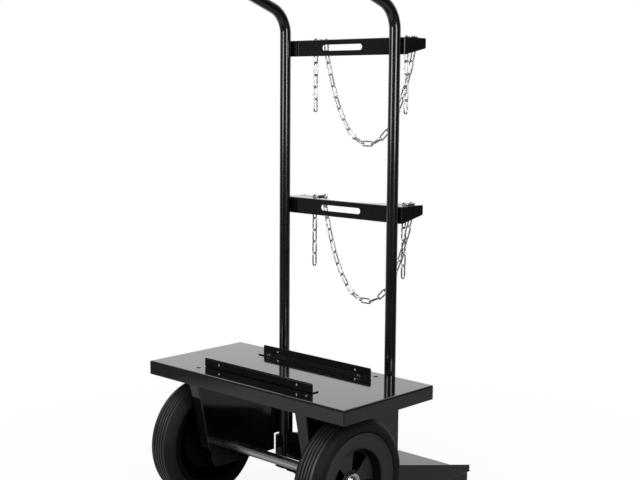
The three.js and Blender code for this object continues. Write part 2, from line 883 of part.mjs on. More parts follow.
// Links between given joints, in turn on edge and facing along Y.
// The first one swings on a link that faces along Y.
function strand(joints) {
  const links = joints.slice(1).map((end, i) => {
    const along = end.clone().sub(joints[i]).normalize();
    const middle = end.clone().add(joints[i]).multiplyScalar(1 / 2);
    return chain_link(middle, along, i % 2 === 0 ? along.clone().cross(Y) : Y);
  });
  return joined(...links);
}

// Where a chain's links sit along the bar
function chain_places(side) {
  const way = side === 'right' ? 1 : -1;
  const places = Object.entries(chain_insets[side]);
  return Object.fromEntries(places.map(([link, inset]) => [link, way * (plate_half_width - inset)]));
}

// The rest shape of a chain of equal links that hangs between two points of one height
function hanging_joints(left, right, count) {
  const slopes = (steepness) => Array.from(
    { length: count },
    (_, k) => Math.atan(steepness * (k - (count - 1) / 2)),
  );
  const span = (angles) => angles.reduce((sum, angle) => sum + link_pitch * Math.cos(angle), 0);
  let low = 0;
  let high = 1;
  while (span(slopes(high)) > right - left) high *= 2;
  for (let k = 0; k < bisections; k += 1) {
    const middle = (low + high) / 2;
    if (span(slopes(middle)) > right - left) low = middle;
    else high = middle;
  }
  const joints = [new THREE.Vector3(left, 0, first_joint_rise)];
  for (const angle of slopes(high)) {
    const step = new THREE.Vector3(link_pitch * Math.cos(angle), 0, link_pitch * Math.sin(angle));
    joints.push(joints[joints.length - 1].clone().add(step));
  }
  return joints;
}

function main_chain() {
  const [left, right] = [chain_places('left').edge, chain_places('right').edge];
  return strand(hanging_joints(left, right, main_link_count));
}

function chain_tail() {
  const joints = [];
  for (let k = 0; k <= tail_link_count; k += 1) {
    joints.push(new THREE.Vector3(0, 0, first_joint_rise - k * link_pitch));
  }
  return strand(joints);
}

// The link that lies on the bar, and the two that hang from it: through the slot and over the free edge
function seated_links({ flat, slot, edge }) {
  return joined(
    chain_link(new THREE.Vector3(flat, flat_link_y, flat_link_rise), Y, Z),
    chain_link(new THREE.Vector3(slot, key_slot_y, hung_link_rise), Z, Y),
    chain_link(new THREE.Vector3(edge, strand_y, hung_link_rise), Z, Y),
  );
}

// Finishes

const finishes = {
  coat: { color: 0x17181a, roughness: 0.28, metalness: 0.15 },
  rubber: { color: 0x2b2c2d, roughness: 0.85, metalness: 0 },
  plastic: { color: 0x1b1c1e, roughness: 0.5, metalness: 0 },
  nylon: { color: 0xc9c6bd, roughness: 0.6, metalness: 0 },
  zinc: { color: 0xb4b6b8, roughness: 0.35, metalness: 0.9 },
};

function piece(parent, name, manifold, finish, place = [0, 0, 0], turn_z = 0) {
  const mesh = new THREE.Mesh(geometry_of(manifold), new THREE.MeshStandardMaterial(finishes[finish]));
  mesh.name = name;
  mesh.position.set(...place);
  mesh.rotation.z = turn_z;
  parent.add(mesh);
  return mesh;
}

function nested(parent, place, turn_z = 0) {
  const group = new THREE.Group();
  group.position.set(...place);
  group.rotation.z = turn_z;
  parent.add(group);
  return group;
}

// The whole trolley

const trolley = new THREE.Group();
trolley.name = 'welding_trolley';
trolley.position.y = (wheel_radius - axle_y - toe_reach) / 2;

piece(trolley, 'tube_frame', tube_frame(), 'coat');
piece(trolley, 'platform_tray', platform_tray(), 'coat');
piece(trolley, 'machine_bracket_front', bracket(front_leg_y, 1), 'coat');
piece(trolley, 'machine_bracket_rear', bracket(rear_leg_y, -1), 'coat');
screw_places().forEach(([x, y], i) => {
  const where = `${y < -platform_depth / 2 ? 'front' : 'rear'}_${i % 2 === 0 ? 'left' : 'right'}`;
  piece(trolley, `bracket_screw_${where}`, bracket_screw(x, y), 'zinc');
  piece(trolley, `bracket_nut_${where}`, bracket_nut(x, y), 'zinc');
});
piece(trolley, 'side_plate_right', side_plate(), 'coat');
piece(trolley, 'side_plate_left', mirrored(side_plate()), 'coat');
piece(trolley, 'toe_tray', toe_tray(), 'coat');
piece(trolley, 'skid_right', skid(), 'coat');
piece(trolley, 'skid_left', mirrored(skid()), 'coat');

const axle_line = nested(trolley, [0, axle_y, wheel_radius]);
piece(axle_line, 'axle', axle(), 'zinc');
for (const [side, way] of [['right', 1], ['left', -1]]) {
  const wheel = nested(axle_line, [way * wheel_offset, 0, 0], way > 0 ? 0 : Math.PI);
  piece(wheel, `tyre_${side}`, tyre(), 'rubber');
  piece(wheel, `rim_${side}`, rim(), 'plastic');
  piece(wheel, `wheel_bush_outer_${side}`, wheel_bush(), 'nylon');
  piece(wheel, `wheel_bush_inner_${side}`, wheel_bush(), 'nylon', [hub_outer - hub_inner, 0, 0], Math.PI);
  piece(wheel, `axle_spacer_${side}`, spacer(), 'zinc');
  piece(wheel, `cap_washer_${side}`, cap_washer(), 'zinc');
  piece(wheel, `hub_cap_${side}`, hub_cap(), 'zinc');
}

for (const [level, rise] of [['upper', upper_bar_rise], ['lower', lower_bar_rise]]) {
  const bar = nested(trolley, [0, 0, platform_top + rise]);
  piece(bar, `cradle_bar_${level}`, cradle_bar(), 'coat');
  piece(bar, `chain_main_${level}`, main_chain(), 'zinc', [0, strand_y, swing_rise]);
  for (const side of ['left', 'right']) {
    const places = chain_places(side);
    piece(bar, `chain_seat_${level}_${side}`, seated_links(places), 'zinc');
    piece(bar, `chain_tail_${level}_${side}`, chain_tail(), 'zinc', [places.slot, key_slot_y, swing_rise]);
  }
}

export default trolley;
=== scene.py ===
import json
import math

import bmesh
import bpy
from mathutils import Matrix, Vector


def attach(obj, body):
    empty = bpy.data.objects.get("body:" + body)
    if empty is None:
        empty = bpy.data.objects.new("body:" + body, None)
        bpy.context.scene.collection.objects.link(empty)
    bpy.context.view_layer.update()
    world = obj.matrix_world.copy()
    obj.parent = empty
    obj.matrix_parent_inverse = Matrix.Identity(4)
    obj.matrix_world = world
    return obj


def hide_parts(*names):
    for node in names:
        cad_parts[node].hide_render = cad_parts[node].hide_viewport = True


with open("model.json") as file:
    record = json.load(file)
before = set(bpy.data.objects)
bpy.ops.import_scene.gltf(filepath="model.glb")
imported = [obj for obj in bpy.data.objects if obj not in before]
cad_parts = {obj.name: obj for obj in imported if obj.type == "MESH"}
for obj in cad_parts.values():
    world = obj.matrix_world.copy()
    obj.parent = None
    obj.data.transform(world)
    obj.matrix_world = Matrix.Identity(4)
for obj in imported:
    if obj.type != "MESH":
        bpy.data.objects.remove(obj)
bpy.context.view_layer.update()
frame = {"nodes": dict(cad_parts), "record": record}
scene = bpy.context.scene
nodes = frame["nodes"]

# Sizes in metres, the same as in the CAD. The floor is at 0, and Y is measured as there plus
# the shift.
SHIFT = 0.005
TOP = 0.3235
CLEAR = 0.0003
AXLE = Vector((0, SHIFT - 0.183, 0.1385))
WHEEL_X = 0.2245

X, Y, Z = Vector((1, 0, 0)), Vector((0, 1, 0)), Vector((0, 0, 1))


# Camera, at the photograph's place

CAMERA_ANGLES = (42.65, 6.82, 0.51)
CAMERA_PLACE = (1.73494, -1.87646 + SHIFT, 0.61063 + TOP)
SENSOR = 36
LENS = 63.95
LENS_SHIFT = (-0.01997, -0.01613)
VIEW_END = 100


def set_camera():
    yaw, pitch, roll = (math.radians(angle) for angle in CAMERA_ANGLES)
    level = math.cos(pitch)
    back = Vector((math.sin(yaw) * level, -math.cos(yaw) * level, math.sin(pitch)))
    right = Vector((math.cos(yaw), math.sin(yaw), 0))
    up = right.cross(-back)
    turned_right = right * math.cos(roll) + up * math.sin(roll)
    turned_up = up * math.cos(roll) - right * math.sin(roll)
    data = bpy.data.cameras.new("camera")
    data.sensor_width = SENSOR
    data.lens = LENS
    data.shift_x, data.shift_y = LENS_SHIFT
    data.clip_end = VIEW_END
    camera = bpy.data.objects.new("camera", data)
    matrix = Matrix((turned_right, turned_up, back)).transposed().to_4x4()
    matrix.translation = CAMERA_PLACE
    camera.matrix_world = matrix
    scene.collection.objects.link(camera)
    scene.camera = camera


# Materials

BLACK, WHITE = (0, 0, 0), (1, 1, 1)


class Tree:
    """A node tree, with short calls for the nodes used here."""

    def __init__(self, owner):
        """For a new material of that name, or for a given world."""
        new = isinstance(owner, str)
        self.material = bpy.data.materials.new(owner) if new else owner
        self.material.use_nodes = True
        self.nodes = self.material.node_tree.nodes
        self.links = self.material.node_tree.links
        self.shader = self.nodes.get("Principled BSDF")
        self.place = self.add("ShaderNodeTexCoord").outputs["Object" if new else "Generated"]

    def add(self, kind, **settings):
        node = self.nodes.new(kind)
        for key, value in settings.items():
            setattr(node, key, value)
        return node

    def feed(self, socket, value):
        """Gives a socket another one's output, a colour or a number."""
        if isinstance(value, bpy.types.NodeSocket):
            self.links.new(value, socket)
        elif isinstance(value, tuple):
            socket.default_value = (*value, 1)
        else:
            socket.default_value = value

    def noise(self, scale, detail=3, roughness=0.5, stretch=None):
        node = self.add("ShaderNodeTexNoise")
        node.inputs["Scale"].default_value = scale
        node.inputs["Detail"].default_value = detail
        node.inputs["Roughness"].default_value = roughness
        place = self.place
        if stretch:
            mapping = self.add("ShaderNodeMapping")
            mapping.inputs["Scale"].default_value = stretch
            self.links.new(place, mapping.inputs["Vector"])
            place = mapping.outputs["Vector"]
        self.links.new(place, node.inputs["Vector"])
        return node.outputs["Fac"]

    def ramp(self, value, *stops):
        """Colours by value. A stop is (value, colour)."""
        node = self.add("ShaderNodeValToRGB")
        elements = node.color_ramp.elements
        while len(elements) < len(stops):
            elements.new(0.5)
        for element, (at, colour) in zip(elements, stops):
            element.position = at
            element.color = (*colour, 1)
        self.links.new(value, node.inputs["Fac"])
        return node.outputs["Color"]

    def span(self, value, low, high, out_low, out_high):
        """out_low up to low, out_high from high on, and a straight line between them."""
        node = self.add("ShaderNodeMapRange")
        node.inputs["From Min"].default_value = low
        node.inputs["From Max"].default_value = high
        node.inputs["To Min"].default_value = out_low
        node.inputs["To Max"].default_value = out_high
        self.links.new(value, node.inputs["Value"])
        return node.outputs["Result"]

    def mix(self, fac, a, b):
        """Colour a where fac is 0 and b where it is 1."""
        node = self.add("ShaderNodeMix", data_type="RGBA")
        self.links.new(fac, node.inputs["Factor"])
        self.feed(node.inputs["A"], a)
        self.feed(node.inputs["B"], b)
        return node.outputs["Result"]

    def blend(self, fac, a, b):
        """Number a where fac is 0 and b where it is 1."""
        node = self.add("ShaderNodeMix", data_type="FLOAT")
        self.links.new(fac, node.inputs[0])
        self.feed(node.inputs[2], a)
        self.feed(node.inputs[3], b)
        return node.outputs[0]

    def maths(self, operation, a, b):
        node = self.add("ShaderNodeMath", operation=operation)
        self.feed(node.inputs[0], a)
        self.feed(node.inputs[1], b)
        return node.outputs["Value"]

    def vector(self, operation, a, b=None):
        """A step of vector maths, with another socket or a fixed vector as b."""
        node = self.add("ShaderNodeVectorMath", operation=operation)
        self.links.new(a, node.inputs[0])
        if isinstance(b, bpy.types.NodeSocket):
            self.links.new(b, node.inputs[1])
        elif b is not None:
            node.inputs[1].default_value = b
        return node.outputs["Value" if operation in ("LENGTH", "DOT_PRODUCT") else "Vector"]

    def axle_distance(self):
        """Distance from the wheels' axis."""
        from_axle = self.vector("SUBTRACT", self.place, AXLE)
        return self.vector("LENGTH", self.vector("MULTIPLY", from_axle, (0, 1, 1)))

    def edges(self, radius):
        """1 along the piece's outer edges and 0 on its faces, and the rounded normal there."""
        bevel = self.add("ShaderNodeBevel", samples=6)
        bevel.inputs["Radius"].default_value = radius
        plain = self.add("ShaderNodeNewGeometry")
        dot = self.vector("DOT_PRODUCT", bevel.outputs["Normal"], plain.outputs["Normal"])
        return self.span(dot, 0.99, 0.80, 0, 1), bevel.outputs["Normal"]

    def bump(self, height, distance, strength, normal=None):
        node = self.add("ShaderNodeBump")
        node.inputs["Distance"].default_value = distance
        node.inputs["Strength"].default_value = strength
        self.links.new(height, node.inputs["Height"])
        if normal is not None:
            self.links.new(normal, node.inputs["Normal"])
        return node.outputs["Normal"]

    def set(self, **values):
        """Feeds the shader's sockets and returns the material."""
        for key, value in values.items():
            self.feed(self.shader.inputs[key.replace("_", " ")], value)
        return self.material


def coat_material(name, roughness=(0.06, 0.11), rounding=0):
    """Gloss black powder coat with a faint orange peel, duller in patches and a little worn.

    With a rounding it has soft cut edges, and it is worn only there.
    """
    t = Tree(name)
    cloud = t.noise(9, 4)
    peel = t.noise(300, 2)
    colour = t.ramp(cloud, (0.35, (0.0021, 0.0023, 0.0030)), (0.7, (0.0040, 0.0043, 0.0054)))
    worn = t.ramp(t.noise(60, 5), (0.45, BLACK), (0.75, WHITE))
    normal = None
    if rounding:
        edge, normal = t.edges(rounding)
        worn = t.maths("MULTIPLY", edge, worn)
    else:
        worn = t.maths("MULTIPLY", worn, 0.15)
    colour = t.mix(worn, colour, (0.02, 0.02, 0.021))
    normal = t.bump(peel, 0.0002, 0.012, normal)
    return t.set(
        Base_Color=colour,
        Roughness=t.span(cloud, 0.3, 0.75, *roughness),
        Specular_IOR_Level=0.5,
        Specular_Tint=(0.94, 0.965, 1.0),
        Coat_Weight=0.38,
        Coat_Roughness=roughness[0],
        Normal=normal,
        Coat_Normal=normal,
    )


# Distances from the axle between which the tread begins
TREAD_START = (0.1374, 0.1383)


def rubber_material():
    """Solid rubber with dust on it, lighter and glossier on the tread."""
    t = Tree("tyre_rubber")
    cloud = t.noise(22, 5)
    grain = t.noise(900, 3)
    dust = t.ramp(t.noise(70, 6, 0.65), (0.48, BLACK), (0.8, WHITE))
    colour = t.ramp(cloud, (0.3, (0.0045, 0.0047, 0.0052)), (0.75, (0.0085, 0.0087, 0.0092)))
    colour = t.mix(t.span(dust, 0, 1, 0, 0.35), colour, (0.022, 0.0215, 0.021))
    tread = t.span(t.axle_distance(), *TREAD_START, 0, 1)
    colour = t.mix(t.maths("MULTIPLY", tread, 0.8), colour, (0.018, 0.0182, 0.019))
    return t.set(
        Base_Color=colour,
        Roughness=t.blend(tread, t.span(cloud, 0.3, 0.7, 0.5, 0.68), 0.36),
        Specular_IOR_Level=t.blend(tread, 0.12, 0.6),
        Normal=t.bump(grain, 0.0003, 0.25, t.bump(cloud, 0.0006, 0.12)),
    )


# Distances from the middle of the axle between which a rim's outer parts begin and its painted
# inboard shade ends, and from the axle between which the wall of the window ring, which gets
# painted shade, begins and ends
OUTBOARD_START = (0.217, 0.2305)
WALL_START = (0.0660, 0.0685)
WALL_END = (0.0735, 0.0748)
WALL_SHADE = 0.8


def plastic_material():
    """Moulded black plastic, darkened by painted shade in its pockets, inboard and on the window
    ring's wall.
    """
    t = Tree("rim_plastic")
    cloud = t.noise(16, 4)
    spark = t.noise(1300, 2)
    edge, normal = t.edges(0.0008)
    # Painted shade in the pockets, from an occlusion mask.
    pockets = t.add("ShaderNodeAmbientOcclusion", samples=8)
    pockets.inputs["Distance"].default_value = 0.06
    unshaded = t.span(pockets.outputs["AO"], 0.45, 0.8, 0, 1)
    across = t.add("ShaderNodeSeparateXYZ")
    t.links.new(t.place, across.inputs[0])
    from_middle = t.maths("ABSOLUTE", across.outputs["X"], 0)
    # Painted shade on the rim's inboard side, towards the trolley.
    outboard = t.span(from_middle, *OUTBOARD_START, 0.12, 1)
    off_axle = t.axle_distance()
    # Painted shade on the wall of the window ring.
    wall = t.maths(
        "SUBTRACT",
        t.span(off_axle, *WALL_START, 0, WALL_SHADE),
        t.span(off_axle, *WALL_END, 0, WALL_SHADE),
    )
    unshaded = t.maths("MULTIPLY", unshaded, outboard)
    unshaded = t.maths("MULTIPLY", unshaded, t.maths("SUBTRACT", 1, wall))
    colour = t.ramp(cloud, (0.3, (0.0095, 0.0098, 0.0105)), (0.75, (0.016, 0.0163, 0.0172)))
    colour = t.mix(t.span(edge, 0, 1, 0, 0.6), colour, (0.035, 0.035, 0.037))
    # Painted shade: near black in the pockets, inboard and on the window ring's wall, with less
    # gloss there too.
    colour = t.mix(unshaded, (0.001, 0.001, 0.001), colour)
    return t.set(
        Base_Color=colour,
        Roughness=t.span(cloud, 0.3, 0.7, 0.34, 0.46),
        Specular_IOR_Level=t.span(unshaded, 0, 1, 0.02, 0.42),
        Normal=t.bump(spark, 0.0002, 0.22, normal),
    )


def nylon_material():
    t = Tree("bush_nylon")
    cloud = t.noise(80, 4)
    return t.set(
        Base_Color=t.ramp(cloud, (0.3, (0.52, 0.5, 0.44)), (0.75, (0.6, 0.58, 0.52))),
        Roughness=t.span(cloud, 0.3, 0.7, 0.4, 0.55),
        Normal=t.bump(t.noise(1200, 2), 0.0001, 0.2),
    )


def zinc_material(name, spangle, roughness, brushed=(1, 1, 1), tone=1):
    """Zinc plate: silver with a slight blue and yellow drift and fine scratches."""
    t = Tree(name)
    drift = t.noise(spangle, 4)
    scratch = t.noise(260, 4, 0.6, brushed)
    colour = t.ramp(
        drift,
        (0.25, (0.62 * tone, 0.64 * tone, 0.67 * tone)),
        (0.55, (0.72 * tone, 0.73 * tone, 0.74 * tone)),
        (0.8, (0.76 * tone, 0.75 * tone, 0.71 * tone)),
    )
    return t.set(
        Base_Color=colour,
        Metallic=1.0,
        Roughness=t.span(scratch, 0.3, 0.75, *roughness),
        Normal=t.bump(scratch, 0.0002, 0.12, t.bump(drift, 0.0003, 0.1)),
    )


# Mesh code

WELD_WITHIN = 1e-6
STRAIGHT = math.radians(89)


def new_piece(name, mesh, body, material, stands_for, sharp=35):
    mesh.materials.clear()
    mesh.materials.append(material)
    for face in mesh.polygons:
        face.use_smooth = True
    mesh.set_sharp_from_angle(angle=math.radians(sharp))
    piece = bpy.data.objects.new(name, mesh)
    scene.collection.objects.link(piece)
    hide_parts(*stands_for)
    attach(piece, body)
    return piece


def mesh_of(name, points, faces):
    mesh = bpy.data.meshes.new(name)
    mesh.from_pydata([tuple(p) for p in points], [], faces)
    mesh.validate()
    bm = bmesh.new()
    bm.from_mesh(mesh)
    bmesh.ops.remove_doubles(bm, verts=bm.verts, dist=WELD_WITHIN)
    bmesh.ops.recalc_face_normals(bm, faces=bm.faces)
    bm.to_mesh(mesh)
    bm.free()
    return mesh


def ring_faces(rings, size, closed=True):
    """Faces from each ring of points to the next, and from the last to the first if closed."""
    faces = []
    for i in range(rings if closed else rings - 1):
        j = (i + 1) % rings
        for k in range(size):
            m = (k + 1) % size
            faces.append((i * size + k, i * size + m, j * size + m, j * size + k))
    return faces


def revolved(profile, steps, centre, way):
    """A closed profile of (distance along X, radius) turned about the line through centre."""
    points = []
    for i in range(steps):
        angle = 2 * math.pi * i / steps
        for along, radius in profile:
            offset = (way * along, radius * math.cos(angle), radius * math.sin(angle))
            points.append(centre + Vector(offset))
    return points, ring_faces(steps, len(profile))


def rounded(corners, radius, steps=4, closed=True):
    """The corners' polyline, rounded. A corner is (a, b) or (a, b, own radius)."""
    result = []
    count = len(corners)
    for i, corner in enumerate(corners):
        here = Vector(corner[:2])
        r = corner[2] if len(corner) > 2 else radius
        if r <= 0 or (not closed and i in (0, count - 1)):
            result.append(tuple(here))
            continue
        back = Vector(corners[i - 1][:2]) - here
        on = Vector(corners[(i + 1) % count][:2]) - here
        shorter = min(back.length, on.length)
        back.normalize()
        on.normalize()
        half = back.angle(on) / 2
        if half > STRAIGHT:
            result.append(tuple(here))
            continue
        reach = min(r / math.tan(half), 0.49 * shorter)
        r = reach * math.tan(half)
        start = here + back * reach
        end = here + on * reach
        centre = here + (back + on).normalized() * math.hypot(r, reach)
        a = start - centre
        whole = a.angle_signed(end - centre)
        for k in range(steps + 1):
            angle = -whole * k / steps
            cos, sin = math.cos(angle), math.sin(angle)
            turned = Vector((a.x * cos - a.y * sin, a.x * sin + a.y * cos))
            result.append(tuple(centre + turned))
    return result


def swept(stations, radii, sides, closed=False):
    """A round rod's skin through stations of (point, tangent, side vector), without ends."""
    points = []
    for (point, tangent, side), radius in zip(stations, radii):
        other = tangent.cross(side).normalized()
        for k in range(sides):
            angle = 2 * math.pi * k / sides
            along_side = side * (radius * math.cos(angle))
            points.append(point + along_side + other * (radius * math.sin(angle)))
    return points, ring_faces(len(stations), sides, closed)


def joined_lists(parts):
    points = []
    faces = []
    for more_points, more_faces in parts:
        base = len(points)
        points.extend(more_points)
        faces.extend(tuple(base + i for i in face) for face in more_faces)
    return points, faces


def routed(corners, radius, steps):
    """Points and tangents along a polyline of 3-D corners with rounded bends."""
    stations = [(corners[0], (corners[1] - corners[0]).normalized())]
    for before, here, after in zip(corners, corners[1:], corners[2:]):
        into = (here - before).normalized()
        out = (after - here).normalized()
        turn = into.angle(out)
        start = here - into * radius * math.tan(turn / 2)
        side = (out - into * into.dot(out)).normalized()
        for k in range(steps + 1):
            angle = turn * k / steps
            cos, sin = math.cos(angle), math.sin(angle)
            point = start + into * (radius * sin) + side * (radius * (1 - cos))
            stations.append((point, into * cos + side * sin))
    stations.append((corners[-1], (corners[-1] - corners[-2]).normalized()))
    return stations


def with_sides(stations, first_side):
    """Adds a side vector that turns no more than the line does."""
    result = []
    side = first_side
    for point, tangent in stations:
        side = (side - tangent * side.dot(tangent)).normalized()
        result.append((point, tangent, side))
    return result


# Sheet metal, in millimetres and with the CAD's own coordinates until it is placed

MM = 0.001
SHEET, FOLD, GAP = 2.5, 4.0, 0.3
PAST = 20.0  # how far a cut goes on past the sheet
DECK = 323.5
DEPTH = 282
FLANGE = 31
PLATE = 181.0
TUBE_BACK = 31.0
TOE_FRONT = 2.4
TOE_LOW = 30.0
TOE_REACH = 311.5
WHEEL_UP = 138.5
AXLE_IN = 183
KEY_SLOT = 70.2


def prism_mesh(shape, low, high, place):
    """An outline run from low to high. place turns (a, b, along) into a point."""
    count = len(shape)
    points = [place(a, b, c) for c in (low, high) for a, b in shape]
    faces = ring_faces(2, count, closed=False)
    faces += [tuple(range(count)), tuple(range(2 * count - 1, count - 1, -1))]
    return mesh_of("blank", points, faces)


def prism(shape, axis, low, high):
    """An outline run along an axis: (y, z) along X, (x, z) along Y and (x, y) along Z."""
    place = {
        "x": lambda a, b, c: Vector((c, a, b)),
        "y": lambda a, b, c: Vector((a, c, b)),
        "z": lambda a, b, c: Vector((a, b, c)),
    }[axis]
    return prism_mesh(shape, low, high, place)


def rectangle(a0, b0, a1, b1):
    return [(a0, b0), (a1, b0), (a1, b1), (a0, b1)]


def arch(a0, b0, a1, b1, radius, steps):
    """A rectangle with its two corners at b1 rounded."""
    return rounded([(a0, b0, 0), (a1, b0, 0), (a1, b1), (a0, b1)], radius, steps)


def block(low, high):
    return prism(rectangle(low[0], low[1], high[0], high[1]), "z", low[2], high[2])


def circle(a, b, radius, steps=36):
    angles = [2 * math.pi * k / steps for k in range(steps)]
    return [(a + radius * math.cos(angle), b + radius * math.sin(angle)) for angle in angles]


def slot(low, high, middle, width):
    r = width / 2
    return rounded(rectangle(low, middle - r, high, middle + r), r * 0.999, 12)


def fold(a, b, a_leg, b_leg):
    """A right-angled fold with its outer corner at (a, b)."""
    a_way = math.copysign(1, a_leg)
    b_way = math.copysign(1, b_leg)
    return rounded([
        (a, b, FOLD),
        (a + a_leg, b),
        (a + a_leg, b + b_way * SHEET),
        (a + a_way * SHEET, b + b_way * SHEET, FOLD - SHEET),
        (a + a_way * SHEET, b + b_leg),
        (a, b + b_leg),
    ], 0, 8)


def worked(mesh, *steps, ease=0):
    """The mesh after a row of joins, cuts and overlaps, with its sharp edges eased."""
    work = bpy.data.objects.new("work", mesh)
    scene.collection.objects.link(work)
    helpers = []
    for operation, other in steps:
        helper = bpy.data.objects.new("tool", other)
        scene.collection.objects.link(helper)
        helpers.append(helper)
        change = work.modifiers.new(operation, "BOOLEAN")
        change.operation = operation
        change.solver = "MANIFOLD"
        change.object = helper
    if ease:
        bevel = work.modifiers.new("ease", "BEVEL")
        bevel.width = ease
        bevel.segments = 2
        bevel.limit_method = "ANGLE"
        bevel.angle_limit = math.radians(40)
    bpy.context.view_layer.update()
    evaluated = work.evaluated_get(bpy.context.evaluated_depsgraph_get())
    result = bpy.data.meshes.new_from_object(evaluated)
    for thing in [work] + helpers:
        bpy.data.objects.remove(thing)
    return result


def keep(other):
    return "INTERSECT", other


def less(other):
    return "DIFFERENCE", other


def plus(other):
    return "UNION", other


def placed(mesh, name, coat, node, mirror=False):
    """A piece of sheet metal in its place, in metres."""
    way = -1 if mirror else 1
    to_metres = Matrix.Diagonal((MM * way, MM, MM, 1))
    mesh.transform(Matrix.Translation((0, SHIFT, 0)) @ to_metres)
    if mirror:
        mesh.flip_normals()
    mesh.name = name
    piece = new_piece(name, mesh, "trolley", coat, [node], 32)
    crisp = piece.modifiers.new("flat_faces", "WEIGHTED_NORMAL")
    crisp.keep_sharp = True


def platform_sheet():
    half, low = 300, DECK - FLANGE
    hole_x, hole_in, hole_r = 167, 32, 5.5

    def pressed(inset, corner, bottom):
        wide, near, far = half - inset, -DEPTH + inset, -inset
        plan = rounded(rectangle(-wide, near, wide, far), 1.5, 6)
        front = arch(-wide, bottom - PAST, wide, DECK - inset, corner, 8)
        side = arch(near, bottom - PAST, far, DECK - inset, corner, 8)
        return worked(
            prism(plan, "z", bottom, DECK),
            keep(prism(front, "y", -DEPTH - PAST, PAST)),
            keep(prism(side, "x", -half - PAST, half + PAST)),
        )

    holes = [
        less(prism(circle(x, y, hole_r), "z", low, DECK + PAST))
        for x in (-hole_x, hole_x)
        for y in (-hole_in, hole_in - DEPTH)
    ]
    inside = pressed(SHEET, FOLD - SHEET, low - PAST / 2)
    return worked(pressed(0, FOLD, low), less(inside), *holes)


def angle_bracket(leg_y, way):
    half, foot, leg, thick = 166.5, 19, 20.5, 2
    hole_x, hole_r = 120.5, 2.6
    low = DECK + GAP
    profile = rounded([
        (leg_y, low, thick),
        (leg_y + way * foot, low),
        (leg_y + way * foot, low + thick),
        (leg_y + way * thick, low + thick, 0.8),
        (leg_y + way * thick, low + leg),
        (leg_y, low + leg),
    ], 0, 6)
    face = arch(-half, low - PAST, half, low + leg, 4, 8)
    reach = foot + PAST
    holes = [
        less(prism(circle(x, low + leg / 2, hole_r), "y", leg_y - reach, leg_y + reach))
        for x in (-hole_x, hole_x)
    ]
    return worked(
        prism(profile, "x", -half, half),
        keep(prism(face, "y", leg_y - reach, leg_y + reach)),
        *holes,
    )


def side_sheet():
    """The side plate under the platform, drawn for the right side."""
    inner, top, under = PLATE - SHEET, DECK - SHEET - GAP, DECK - FLANGE - GAP
    front, run, drop = -DEPTH + 8, 40, 187
    bend_z, heel_z, low, notch_z = DECK - drop, DECK - 209, DECK - 246, DECK - 206.5
    heel, toe = -DEPTH + 80, TOE_FRONT - 4.4
    rear = TUBE_BACK + SHEET
    flange, axle_hole = 30, 11.3
    start = FOLD + 3
    slope = Vector((run, -drop)).normalized()
    into = Vector((-slope.y, slope.x))

    def edge(z):
        return front + (DECK - z) * run / drop + start / into.x

    face = rounded([
        (edge(top), top),
        (edge(bend_z), bend_z),
        (heel, heel_z),
        (heel, low + 18, FOLD),
        (heel + 11, low, FOLD),
        (toe, low),
        (toe, notch_z),
        (rear - start, notch_z),
        (rear - start, under),
        (-SHEET - GAP, under),
        (-SHEET - GAP, top, FOLD),
    ], 0, 8)
    foot_y = front + run
    normal = Vector((0, into.x, into.y))
    up = Vector((0, -slope.x, -slope.y))
    front_fold = prism_mesh(
        fold(PLATE, 0, -flange, FOLD + 6), 0, math.hypot(run, drop),
        lambda a, b, c: Vector((a, foot_y, bend_z)) + normal * b + up * c,
    )
    over = block((0, -DEPTH - PAST, top), (PLATE + PAST, PAST, top + PAST))
    front_fold = worked(front_fold, less(over))
    rear_fold = prism(fold(PLATE, rear, -flange, -FOLD - 6), "z", notch_z, under)
    return worked(
        prism(face, "x", inner, PLATE),
        plus(front_fold),
        plus(rear_fold),
        less(prism(circle(-AXLE_IN, WHEEL_UP, axle_hole), "x", inner - PAST, PLATE + PAST)),
    )


def toe_sheet():
    floor, wall_top, back_top = TOE_LOW + SHEET, TOE_LOW + 83, TOE_LOW + 101
    lip, lip_top = TOE_REACH - 6.5, TOE_LOW + 18
    start = FOLD + 3
    flange, notch = 24, 16
    back_half = PLATE - flange - notch
    cup = rounded([
        (-PLATE, TOE_LOW, FOLD),
        (PLATE, TOE_LOW, FOLD),
        (PLATE, wall_top),
        (PLATE - SHEET, wall_top),
        (PLATE - SHEET, floor, FOLD - SHEET),
        (-PLATE + SHEET, floor, FOLD - SHEET),
        (-PLATE + SHEET, wall_top),
        (-PLATE, wall_top),
    ], 0, 8)
    side = [
        (TOE_FRONT + start, TOE_LOW),
        (TOE_REACH, TOE_LOW),
        (TOE_REACH, floor),
        (lip, floor),
        (lip, lip_top),
        (TOE_FRONT + 30, wall_top),
        (TOE_FRONT + start, wall_top),
    ]
    plan = arch(-PLATE, TOE_FRONT, PLATE, TOE_REACH, 6, 10)
    tray = worked(
        prism(cup, "y", TOE_FRONT, TOE_REACH),
        keep(prism(side, "x", -PLATE - PAST, PLATE + PAST)),
        keep(prism(plan, "z", TOE_LOW - PAST, wall_top + PAST)),
    )
    back_face = arch(-back_half, TOE_LOW - PAST, back_half, back_top, 8, 10)
    back = worked(
        prism(fold(TOE_FRONT, TOE_LOW, FOLD + 6, 101), "x", -back_half, back_half),
        keep(prism(back_face, "y", -PAST, 2 * PAST)),
    )
    steps = [plus(back)]
    for way in (-1, 1):
        shape = fold(way * PLATE, TOE_FRONT, -way * flange, FOLD + 6)
        steps.append(plus(prism(shape, "z", TOE_LOW + FOLD, wall_top)))
    for near in (-back_half - notch, back_half):
        low = (near, TOE_FRONT - PAST, TOE_LOW - PAST)
        steps.append(less(block(low, (near + notch, TOE_FRONT + 8, floor + PAST))))
    return worked(tray, *steps)


